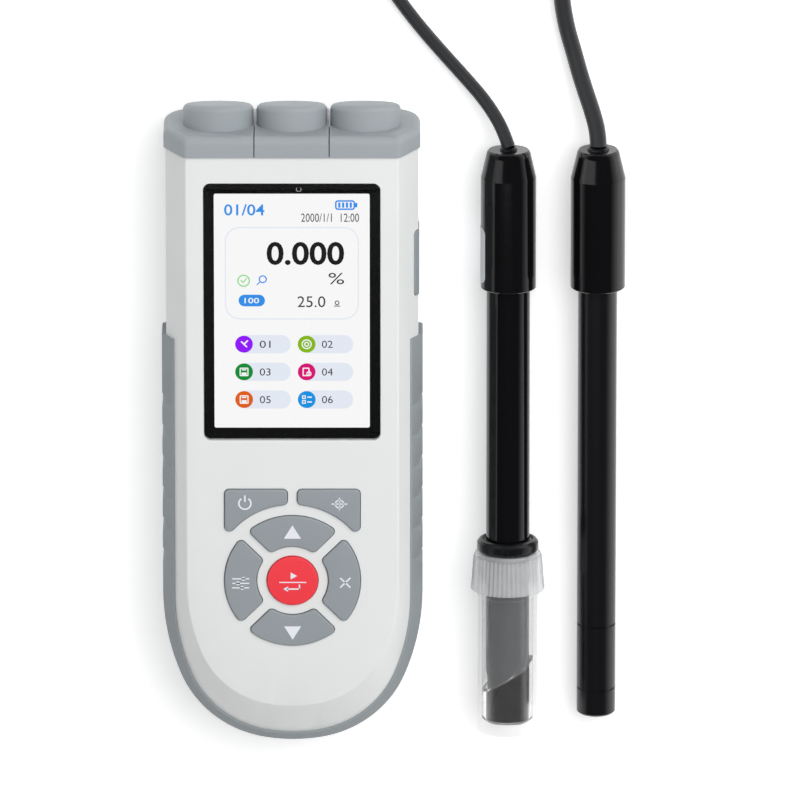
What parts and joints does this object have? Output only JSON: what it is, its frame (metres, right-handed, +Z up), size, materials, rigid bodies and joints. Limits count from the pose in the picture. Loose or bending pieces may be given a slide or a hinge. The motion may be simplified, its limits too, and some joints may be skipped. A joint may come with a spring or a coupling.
{
  "type": "dissolved oxygen meter",
  "caption": "Handheld water meter with a colour screen, round keypad, covered sockets and rubber grip, with a bottled probe and an oxygen probe on their cables.",
  "frame": {"origin": "middle of the meter's flat back, on the table it lies on", "axes": "+X across the meter towards the two probes, +Y up the meter towards its sockets, +Z up out of the screen"},
  "size_m": [0.1698, 0.3373, 0.0359],
  "materials": {
    "white_shell": "satin moulded ABS",
    "grey_shell": "fine matt moulded plastic",
    "grip_rubber": "soft-touch overmould",
    "grey_key": "satin moulded key",
    "red_key": "satin moulded key",
    "clear_window": "polished",
    "black_mask": "printed",
    "screen": "lit display",
    "circuit_board": "solder mask",
    "battery_wrap": "wrapped",
    "metal": "plated",
    "brass_contact": "gold plated",
    "socket_plastic": "moulded",
    "black_seal": "moulded rubber",
    "probe_black": "gloss moulded",
    "sensor_glass": "blown glass",
    "bottle_clear": "clear moulded",
    "solution": "liquid",
    "cable_black": "extruded jacket"
  },
  "bodies": {
    "root": {"front_shell": "white_shell", "back_shell": "grey_shell", "socket_panel": "grey_shell", "grip_band": "grip_rubber", "case_gasket": "grip_rubber", "keypad_mat": "grip_rubber", "lens": "clear_window", "lens_mask": "black_mask", "buzzer": "black_mask", "light_sensor": "black_mask", "display_module": "screen", "main_board": "circuit_board", "port_board": "circuit_board", "battery": "battery_wrap", "key_switches": "metal", "board_screws": "metal", "case_screws": "metal", "usb_socket": "metal", "bnc_socket": "metal", "middle_socket": "metal", "right_socket": "metal", "socket_nuts": "metal", "plug_contacts": "brass_contact", "socket_inserts": "socket_plastic", "socket_seals": "black_seal", "ph_probe_handle": "probe_black", "ph_probe_cable_collar": "probe_black", "ph_probe_shaft": "probe_black", "ph_probe_guard": "probe_black", "oxygen_probe_handle": "probe_black", "oxygen_probe_cable_collar": "probe_black", "oxygen_probe_shaft": "probe_black", "oxygen_sensor_sleeve": "probe_black", "oxygen_sensor_core": "probe_black", "ph_probe_bulb": "sensor_glass", "ph_cable": "cable_black", "ph_cable_coil": "cable_black", "ph_plug_body": "cable_black", "oxygen_cable": "cable_black", "oxygen_cable_coil": "cable_black", "oxygen_plug_body": "cable_black"},
    "key_power": {"key_power": "grey_key"},
    "key_cal": {"key_cal": "grey_key"},
    "key_up": {"key_up": "grey_key"},
    "key_down": {"key_down": "grey_key"},
    "key_set": {"key_set": "grey_key"},
    "key_esc": {"key_esc": "grey_key"},
    "key_enter": {"key_enter": "red_key"},
    "left_socket_cover": {"left_socket_cover": "grey_shell"},
    "middle_socket_cover": {"middle_socket_cover": "grey_shell"},
    "right_socket_cover": {"right_socket_cover": "grey_shell"},
    "side_port_cover": {"side_port_cover": "grip_rubber"},
    "storage_bottle": {"storage_bottle": "bottle_clear", "storage_solution": "solution"},
    "bottle_cap": {"bottle_cap": "bottle_clear", "bottle_seal": "black_seal"},
    "membrane_cap": {"membrane_cap": "probe_black"},
    "ph_plug_sleeve": {"ph_plug_sleeve": "metal"},
    "oxygen_plug_nut": {"oxygen_plug_nut": "metal"}
  },
  "joints": [
    {"name": "key_power_press", "type": "slide", "parent": "root", "child": "key_power", "axis": [0, 0, -1], "range_m": [0, 0.0008], "stiffness_N_per_m": 800, "springref_m": -0.0004},
    {"name": "key_cal_press", "type": "slide", "parent": "root", "child": "key_cal", "axis": [0, 0, -1], "range_m": [0, 0.0008], "stiffness_N_per_m": 800, "springref_m": -0.0004},
    {"name": "key_up_press", "type": "slide", "parent": "root", "child": "key_up", "axis": [0, 0, -1], "range_m": [0, 0.0008], "stiffness_N_per_m": 800, "springref_m": -0.0004},
    {"name": "key_down_press", "type": "slide", "parent": "root", "child": "key_down", "axis": [0, 0, -1], "range_m": [0, 0.0008], "stiffness_N_per_m": 800, "springref_m": -0.0004},
    {"name": "key_set_press", "type": "slide", "parent": "root", "child": "key_set", "axis": [0, 0, -1], "range_m": [0, 0.0008], "stiffness_N_per_m": 800, "springref_m": -0.0004},
    {"name": "key_esc_press", "type": "slide", "parent": "root", "child": "key_esc", "axis": [0, 0, -1], "range_m": [0, 0.0008], "stiffness_N_per_m": 800, "springref_m": -0.0004},
    {"name": "key_enter_press", "type": "slide", "parent": "root", "child": "key_enter", "axis": [0, 0, -1], "range_m": [0, 0.0008], "stiffness_N_per_m": 800, "springref_m": -0.0004},
    {"name": "left_socket_cover_pull", "type": "slide", "parent": "root", "child": "left_socket_cover", "axis": [0, 1, 0], "range_m": [0, 0.018]},
    {"name": "middle_socket_cover_pull", "type": "slide", "parent": "root", "child": "middle_socket_cover", "axis": [0, 1, 0], "range_m": [0, 0.018]},
    {"name": "right_socket_cover_pull", "type": "slide", "parent": "root", "child": "right_socket_cover", "axis": [0, 1, 0], "range_m": [0, 0.018]},
    {"name": "side_port_cover_hinge", "type": "hinge", "parent": "root", "child": "side_port_cover", "pos_m": [0.0401, 0.06, 0.012], "axis": [0, 1, 0], "range_deg": [0, 100]},
    {"name": "storage_bottle_pull", "type": "slide", "parent": "root", "child": "storage_bottle", "axis": [0, -0.9997, 0.024], "range_m": [0, 0.075]},
    {"name": "bottle_cap_turn", "type": "hinge", "parent": "storage_bottle", "child": "bottle_cap", "pos_m": [0.0683, -0.04499, 0.01189], "axis": [0, 0.9997, -0.024], "range_deg": [0, 360]},
    {"name": "membrane_cap_pull", "type": "slide", "parent": "root", "child": "membrane_cap", "axis": [0, -0.9998, -0.0176], "range_m": [0, 0.012]},
    {"name": "ph_plug_sleeve_turn", "type": "hinge", "parent": "root", "child": "ph_plug_sleeve", "pos_m": [-0.055, 0.2173, 0.00725], "axis": [-1, 0, 0], "range_deg": [0, 90]},
    {"name": "oxygen_plug_nut_turn", "type": "hinge", "parent": "root", "child": "oxygen_plug_nut", "pos_m": [0.012, 0.23045, 0.008], "axis": [-1, 0, 0], "continuous": true}
  ]
}
